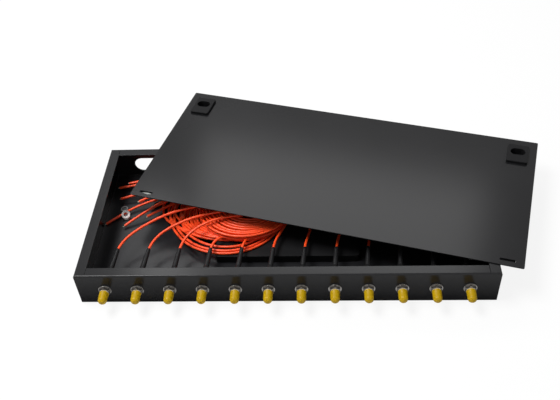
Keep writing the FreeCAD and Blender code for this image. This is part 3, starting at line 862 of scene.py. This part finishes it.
TOP, MIDDLE, LOW, DEEP = Layer.BUNDLE_TOP, Layer.BUNDLE_MIDDLE, Layer.BUNDLE_LOW, Layer.BUNDLE_DEEP
RING, UPPER = Layer.RING, Layer.RING_UPPER
PIGTAILS = (
    Pigtail(((-168, -14.5, 24.5), (-130, 8, 29.5), (-72, 20.5, 30.5), (-44, 28.2, 27.5), (-28.3, 31.4, 25.6),
             (-21.2, 42.4, 23.3), (-24.8, 55.8, 24.6)),
            lanes((33.5, TOP), (64.5, RING, 10, 168, 28), (53.5, RING, 38, 165, 30)),
            ((-114, 66, 11.5), (-147, 53, 10), (-176, 43.5, 6.2), (-197.2, 30.2, 4.45), (-216.6, 12.8, 2.9))),
    Pigtail(((-137, -17.5, 25), (-103, -2, 30.5), (-58, 8.5, 29.5), (-27, 16.2, 26.5), (-16, 19, 25.2),
             (-10, 28.4, 24.5)),
            lanes((36.6, TOP), (60.6, RING, 9, 168, 28), (54.6, RING, 27, 165, 28)),
            ((-118, 55.5, 11.5), (-145, 41, 13.5), (-172, 25.5, 10), (-193.5, 8, 4.2))),
    Pigtail(((-105, -20, 27), (-80, -7.5, 31.5), (-46, 0.5, 28.5), (-14, 11, 20.5)),
            lanes((39.7, TOP), (35.05, MIDDLE), (47.4, DEEP), (45.0, RING, 7)),
            ((-121, 48, 10), (-145, 34.5, 10.8), (-167.5, 19.5, 8))),
    Pigtail(((-73.4, -24.5, 18.9), (-61, -21.7, 15.8)),
            lanes((50.5, DEEP), (36.6, LOW), (38.15, MIDDLE), (42.0, RING, 6)),
            ((-120, 75, 11.5), (-151, 59.5, 13.5), (-181, 43, 10))),
    Pigtail(((-42.7, -26.6, 18.2), (-35.9, -22, 17)),
            lanes((53.6, DEEP), (39.7, LOW), (41.25, MIDDLE), (43.5, UPPER, 4)),
            ((-128, 77.5, 9.5), (-167, 61.5, 11.5), (-205.5, 52, 6.5))),
    Pigtail(((-7, -20, 20.5), (-0.5, -3, 20), (3, 13, 19)),
            lanes((49.0, TOP), (44.35, MIDDLE), (42.8, LOW), (39.0, RING, 5)),
            ((-120, 82.5, 9), (-166, 78, 10.5), (-211, 71.5, 6.5))),
    Pigtail(((27, -14, 19), (27, 14, 15.5), (14, 40, 15.5), (-2, 52, 17.5)),
            lanes((52.1, TOP), (47.45, MIDDLE), (45.9, LOW), (40.5, UPPER, 3)),
            ((-112, 86, 12), (-157, 84, 13.5), (-200, 78, 8))),
    Pigtail(((62, -12, 18.5), (57, 18, 15), (31, 44, 15), (-2, 57.5, 18)),
            lanes((55.2, TOP), (45.9, TOP), (49.0, LOW), (34.5, UPPER, 1)),
            ((-129, 74, 7.2), (-147, 66, 5), (-163, 60, 4))),
    Pigtail(((96, -10, 17), (91, 24, 14.5), (68, 52, 14.5), (30, 69, 15.5), (-11, 69, 19)),
            lanes((53.65, MIDDLE), (42.8, TOP), (33.5, LOW), (37.5, UPPER, 2)),
            ((-134, 68, 6.8), (-151, 57.5, 5), (-165, 50, 4))),
    Pigtail(((131, -8, 15), (126, 30, 9), (100, 64, 9), (56, 83, 12), (4, 85, 16.5), (-24, 76.5, 19.5)),
            lanes((50.55, MIDDLE), (52.5, UPPER, 20, 165, 28), (53.0, RING, 9, 178)),
            ((-142, 58.5, 6), (-156, 46, 4.8), (-167, 37, 4))),
    Pigtail(((164.5, -10, 15), (159, 34, 8), (130, 69, 7), (82, 89, 9), (28, 93.5, 12.5), (-20, 89, 15),
             (-50, 83, 14.5)),
            lanes((55.2, LOW), (51.0, RING, 9), (49.5, UPPER, 14, 165, 28)),
            ((-106, 88, 10), (-140, 91, 7), (-172, 90, 4))),
    Pigtail(((198.5, -10, 14.5), (194, 32, 6), (166, 70, 4), (118, 91, 4.5), (62, 97, 7), (6, 98, 10.5),
             (-32, 93, 13), (-58, 89, 14)),
            lanes((52.1, LOW), (46.5, UPPER, 9), (48.0, RING, 8)),
            ((-98, 89, 13), (-135, 95, 11.5), (-170, 96, 8))),
)


@dataclass
class PigtailSet:
    """All the pigtails, from their boots through the coil to their cut ends."""

    boots: Boots
    diameter: float = 3.0
    length_m: float = 1.5
    tuck: float = 53.0
    first: float = 67.0
    seed: int = 11
    round_steps: int = 3
    leg_steps: int = 5
    stub: float = 1.6
    stub_root: float = -1.0
    stub_radius: float = 0.45
    stub_sides: int = 12
    stub_shares: tuple[tuple[float, float], ...] = ((0.7, 0.94), (0.84375, 0.9), (1.0, 0.6), (1.0, 0.0))

    def build(self, palette: Palette) -> None:
        """Args:
            palette: Materials.
        """
        wander = random.Random(self.seed)
        for i, pigtail in enumerate(PIGTAILS):
            number = f"{i + 1:02d}"
            start = [Vector(self.boots.on_axis(i, self.tuck)), Vector(self.boots.on_axis(i, self.first))]
            route = start + [Vector(p) for p in pigtail.lead] + pigtail.turns(wander)
            route += [Vector(p) for p in pigtail.tail]
            cord = self.lay("orange_pigtail_" + number, route)
            palette.dress(cord, JACKET)
            end = self.cut_end("cut_end_" + number, route[-2], route[-1])
            palette.dress(end, BUFFER)
            for piece in (cord, end):
                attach(piece, ROOT_BODY)
            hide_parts("pigtail_" + number, "pigtail_coil")
            exit_point = [c * MM for c in self.boots.on_axis(i, self.boots.tip)]
            LOG.info("pigtail %s: %d points", number, len(route))

    def lay(self, name: str, route: Sequence[Vector]) -> bpy.types.Object:
        """Round cable along a smooth line.

        Args:
            name: Name of the object.
            route: Control points in millimetres.

        Returns:
            The cable as a curve.
        """
        line = bpy.data.curves.new(name, "CURVE")
        line.dimensions = "3D"
        line.bevel_depth = self.diameter / 2 * MM
        line.bevel_resolution = self.round_steps
        line.resolution_u = self.leg_steps
        line.use_fill_caps = True
        spline = line.splines.new("NURBS")
        spline.points.add(len(route) - 1)
        for point, spot in zip(spline.points, route):
            point.co = (*(spot * MM), 1.0)
        spline.order_u = 3
        spline.use_endpoint_u = True
        return linked(name, line)

    def stub_outline(self, angle: float) -> Outline:
        """Outline of a slightly tapered stub with a rounded tip."""
        root = [(self.stub_root, 0.0), (self.stub_root, self.stub_radius)]
        return root + [(self.stub * along, self.stub_radius * out) for along, out in self.stub_shares]

    def cut_end(self, name: str, before: Vector, end: Vector) -> bpy.types.Object:
        """Stub of the pale inner buffer that stands out of a cut jacket.

        Args:
            name: Name of the object.
            before: Last point of the route but one, in millimetres.
            end: Where the jacket is cut.

        Returns:
            The stub as a mesh.
        """
        mesh = spun(name, self.stub_outline, self.stub_sides, False)
        turn = (end - before).to_track_quat("Y", "Z").to_matrix().to_4x4()
        mesh.transform(Matrix.Translation(end * MM) @ turn)
        return linked(name, mesh)


@dataclass
class SlotLip:
    """Rolled lip at the front of the cover's left hook slot, worn bare where it rubs on the flange.

    Attributes:
        middle: Middle of the lip on the cover's upper face, in millimetres.
        cover_turn_deg: How far the cover is turned on the box.
        lean_deg: How far the lip leans down into the slot behind it.
        length: Length along the slot.
        depth: Widest place across it.
        flatness: Its thickness as a share of its depth.
        steps: Steps along its length.
        sides: Steps round it.
    """

    middle: Point = (-161.9, 21.5, 44.15)
    cover_turn_deg: float = -15.52
    lean_deg: float = 8.0
    length: float = 12.5
    depth: float = 2.9
    flatness: float = 0.2
    steps: int = 12
    sides: int = 24

    def outline(self, angle: float) -> Outline:
        """Spindle that ends in points."""
        shares = [k / self.steps for k in range(self.steps + 1)]
        return [((share - 0.5) * self.length, 2 * share * (1 - share) * self.depth) for share in shares]

    def build(self, palette: Palette) -> None:
        """Rolls the lip and lays it in its place on the cover.

        Args:
            palette: Materials.
        """
        mesh = spun("worn_slot_lip", self.outline, self.sides, False)
        along_cover = Matrix.Rotation(math.radians(self.cover_turn_deg - 90), 4, "Z")
        leaning = Matrix.Rotation(math.radians(-self.lean_deg), 4, "Y")
        flat = Matrix.Diagonal((1.0, 1.0, self.flatness, 1.0))
        mesh.transform(Matrix.Translation(Vector(self.middle) * MM) @ along_cover @ leaning @ flat)
        lip = linked("worn_slot_lip", mesh)
        palette.dress(lip, BARE_STEEL)
        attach(lip, ROOT_BODY)


@dataclass
class Housing:
    """Folded box, loose cover, latches and the fittings inside, which keep their CAD shapes."""

    finishes: dict[str, Finish] = field(default_factory=lambda: {
        "box_body": BOX_COAT, "top_cover": COVER_COAT, "left_slide_latch": LATCH_PLASTIC,
        "right_slide_latch": LATCH_PLASTIC, "lock_washers": WASHER, "alignment_sleeves": CERAMIC,
        "connector_bodies": NICKEL, "ferrules": CERAMIC, "crimp_sleeves": NICKEL, "splice_tray": TRAY_PLASTIC,
        "splice_tray_cover": TRAY_PLASTIC, "splice_combs": TRAY_PLASTIC, "cable_clamp": NYLON,
        "clamp_screw": SCREW_BLACK})

    def dress(self, nodes: dict[str, bpy.types.Object], palette: Palette) -> None:
        """Gives each carried-over node its finish.

        Args:
            nodes: The CAD nodes by name.
            palette: Materials.
        """
        for name, finish in self.finishes.items():
            palette.dress(nodes[name], finish)
            LOG.info("%s: %s", name, finish.name)


@dataclass(frozen=True)
class Lamp:
    """One soft lamp of the set.

    Attributes:
        role: What it does.
        spot: Where it hangs, in metres.
        aim: The point that it faces.
        size: Width and height of its panel.
        watts: Its power.
        roll_deg: Turn about the line to its aim.
    """

    role: Role
    spot: Point
    aim: Point
    size: tuple[float, float]
    watts: float
    roll_deg: float = 0.0

    def build(self) -> None:
        """Hangs the lamp."""
        lamp = bpy.data.lights.new(self.role.value, "AREA")
        lamp.shape = "RECTANGLE"
        lamp.size, lamp.size_y = self.size
        lamp.energy = self.watts
        piece = linked("lamp_" + self.role.value, lamp)
        piece.location = self.spot
        facing = (Vector(self.aim) - Vector(self.spot)).to_track_quat("-Z", "Y").to_matrix()
        piece.rotation_euler = (facing @ Matrix.Rotation(math.radians(self.roll_deg), 3, "Z")).to_euler()


@dataclass
class Studio:
    """White set: floor, soft lamps, pale surround and the camera."""

    frame_px: float = 560.0
    focal_px: float = 745.71
    sensor_mm: float = 36.0
    eye: Point = (0.04346, -0.59648, 0.62572)
    pitch_deg: float = 43.831
    yaw_deg: float = -4.851
    roll_deg: float = 4.131
    near: float = 0.01
    floor_half: float = 6.0
    floor_grey: float = 0.9
    ambient: float = 0.2
    floor_white: float = 0.88
    half_box: tuple[float, float] = (0.22, 0.1025)
    contact: float = 0.037
    lamps: tuple[Lamp, ...] = (
        Lamp(Role.SHEEN, (0.075, 1.099, 1.187), (0.075, -0.001, 0.087), (0.92, 0.38), 4.35, -11.0),
        Lamp(Role.SIDE_SHEEN, (-0.5, 1.01, 1.287), (-0.16, -0.05, 0.02), (0.17, 0.42), 1.5),
        Lamp(Role.KEY, (-0.65, 0.0, 1.5), (-0.05, 0.0, 0.02), (0.8, 0.6), 28.5),
        Lamp(Role.FILL, (0.2, -1.6, 0.4), (0.0, -0.1, 0.02), (1.4, 0.4), 2.2),
    )

    def build(self) -> None:
        """Sets up everything that isn't the panel."""
        bpy.context.scene.view_settings.view_transform = "Standard"
        self.build_camera()
        self.build_world()
        self.build_floor()
        for lamp in self.lamps:
            lamp.build()

    def build_camera(self) -> None:
        """Camera at the photograph's place, turn and lens."""
        pitch, yaw, roll = (math.radians(a) for a in (self.pitch_deg, self.yaw_deg, self.roll_deg))
        ahead = Vector((math.sin(yaw) * math.cos(pitch), math.cos(yaw) * math.cos(pitch), -math.sin(pitch)))
        right = ahead.cross(Vector((0, 0, 1))).normalized()
        down = ahead.cross(right)
        across = right * math.cos(roll) + down * math.sin(roll)
        up = right * math.sin(roll) - down * math.cos(roll)
        lens = bpy.data.cameras.new("camera")
        lens.sensor_width = self.sensor_mm
        lens.lens = self.sensor_mm * self.focal_px / self.frame_px
        lens.clip_start = self.near
        camera = linked("camera", lens)
        turn = Matrix((across, up, -ahead)).transposed().to_4x4()
        camera.matrix_world = Matrix.Translation(self.eye) @ turn
        bpy.context.scene.camera = camera

    @staticmethod
    def background_rays(graph: Graph) -> Wire:
        """1 for the rays that look at the background, whether straight, in a mirror or through glass."""
        kinds = ("Is Camera Ray", "Is Glossy Ray", "Is Transmission Ray")
        rays = [graph.add("ShaderNodeLightPath", out=kind) for kind in kinds]
        return graph.add("ShaderNodeClamp", inputs={"Value": rays[0] + rays[1] + rays[2]})

    def build_world(self) -> None:
        """Surround that looks white and lights softly."""
        world = bpy.data.worlds.new("surround")
        world.use_nodes = True
        bpy.context.scene.world = world
        graph = Graph(world.node_tree)
        seen = self.background_rays(graph)
        strength = self.ambient + seen * (1.0 - self.ambient)
        surround = graph.add("ShaderNodeBackground", inputs={"Color": colour(1, 1, 1), "Strength": strength})
        graph.add("ShaderNodeOutputWorld", inputs={"Surface": surround}, out=None)

    def contact_shade(self, graph: Graph) -> Wire:
        """White that falls to black where the box meets the floor, as the box's glossy sides mirror it."""
        where = graph.add("ShaderNodeTexCoord", out="Object")
        places = [graph.add("ShaderNodeSeparateXYZ", inputs={"Vector": where}, out=axis) for axis in "XY"]
        away = [place.math("ABSOLUTE", place, 0.0) - half for place, half in zip(places, self.half_box)]
        apart = away[0].math("MAXIMUM", *away) * (1.0 / self.contact)
        return graph.add("ShaderNodeClamp", inputs={"Value": apart})

    def build_floor(self) -> None:
        """White floor that keeps a faint shadow."""
        build = bmesh.new()
        bmesh.ops.create_grid(build, x_segments=1, y_segments=1, size=self.floor_half)
        floor = linked("floor", finish_mesh("floor", build))
        material = bpy.data.materials.new("white_floor")
        material.use_nodes = True
        graph = Graph(material.node_tree)
        matte = graph.add("ShaderNodeBsdfDiffuse", inputs={"Color": colour(*[self.floor_grey] * 3)})
        mirrored = graph.add("ShaderNodeLightPath", out="Is Glossy Ray")
        shade = graph.mix(mirrored, colour(1, 1, 1), self.contact_shade(graph))
        glow = graph.add("ShaderNodeEmission", inputs={"Color": shade, "Strength": 1.0})
        share = self.background_rays(graph) * (self.floor_white + mirrored * (1.0 - self.floor_white))
        surface = graph.add("ShaderNodeMixShader", inputs={0: share, 1: matte, 2: glow})
        graph.add("ShaderNodeOutputMaterial", inputs={"Surface": surface}, out=None)
        floor.data.materials.append(material)


def main() -> None:
    """Builds the set and the panel, piece by piece."""
    logging.basicConfig(level=logging.INFO, format="%(name)s %(message)s")
    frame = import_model()
    palette = Palette()
    row = PortRow()
    boots = Boots(row)
    Studio().build()
    PigtailSet(boots).build(palette)
    boots.build(palette)
    Adapters(row).build(palette)
    DustCaps(row).build(palette)
    Housing().dress(frame["nodes"], palette)
    SlotLip().build(palette)


if __name__ == "__main__":
    main()
